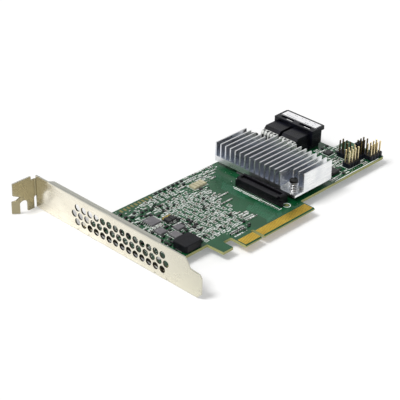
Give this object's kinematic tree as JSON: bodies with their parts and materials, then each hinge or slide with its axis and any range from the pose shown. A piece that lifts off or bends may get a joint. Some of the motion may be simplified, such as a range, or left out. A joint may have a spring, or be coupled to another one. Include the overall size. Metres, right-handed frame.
{
  "type": "raid controller card",
  "caption": "Low-profile storage controller board with finned heatsink, twin cable port, module socket and pin headers on a full-height vented bracket.",
  "frame": {"origin": "on the outer face of the bracket, level with the tip of the edge contacts and the component side of the board", "axes": "+X along the board away from the bracket, +Y from the edge contacts to the top edge, +Z out of the component side"},
  "size_m": [0.182, 0.1223, 0.019],
  "materials": {
    "solder_mask": "glossy green solder mask over glass-epoxy laminate",
    "contact_gold": "hard gold plating",
    "bracket_steel": "nickel-plated sheet steel",
    "screw_steel": "zinc-plated steel",
    "heatsink_aluminium": "clear-anodised extrusion",
    "pin_nylon": "moulded black nylon",
    "spring_steel": "bright spring wire",
    "chip_mould": "moulded epoxy",
    "pad_silicone": "soft silicone pad",
    "socket_plastic": "moulded black resin",
    "solder_tin": "tin-plated copper",
    "port_plastic": "moulded black resin",
    "comb_plastic": "moulded pale resin",
    "label_film": "matt white film",
    "header_plastic": "moulded black resin",
    "choke_powder": "pressed iron powder",
    "tantalum_yellow": "moulded yellow epoxy",
    "filter_ceramic": "cream ceramic",
    "capacitor_ceramic": "fired tan ceramic with tinned ends",
    "resistor_glaze": "black glaze on white alumina with tinned ends"
  },
  "bodies": {
    "root": {"circuit_board": "solder_mask", "edge_contacts_front": "contact_gold", "edge_contacts_back": "contact_gold", "bracket": "bracket_steel", "bracket_screws": "screw_steel", "heatsink": "heatsink_aluminium", "controller_chip": "chip_mould", "thermal_pad": "pad_silicone", "push_pins": "pin_nylon", "push_pin_springs": "spring_steel", "socket_housing": "socket_plastic", "socket_blades": "contact_gold", "socket_leads": "solder_tin", "port_housing": "port_plastic", "port_noses": "port_plastic", "port_blades": "contact_gold", "port_combs": "comb_plastic", "port_tails": "solder_tin", "port_label": "label_film", "header_base_corner": "header_plastic", "header_pins_corner": "contact_gold", "header_base_back": "header_plastic", "header_pins_back": "contact_gold", "header_base_middle": "header_plastic", "header_pins_middle": "contact_gold", "header_base_inner": "header_plastic", "header_pins_inner": "contact_gold", "jumper_shunt": "header_plastic", "power_choke": "choke_powder", "choke_terminals": "solder_tin", "power_controller": "chip_mould", "power_controller_leads": "solder_tin", "power_transistors": "chip_mould", "gate_driver": "chip_mould", "flash_chip": "chip_mould", "flash_chip_leads": "solder_tin", "buffer_chip": "chip_mould", "tantalum_capacitors": "tantalum_yellow", "ceramic_filters": "filter_ceramic", "coupling_capacitors": "capacitor_ceramic", "ceramic_capacitors": "capacitor_ceramic", "chip_resistors": "resistor_glaze", "memory_chips": "chip_mould", "back_capacitors": "capacitor_ceramic"}
  },
  "joints": []
}
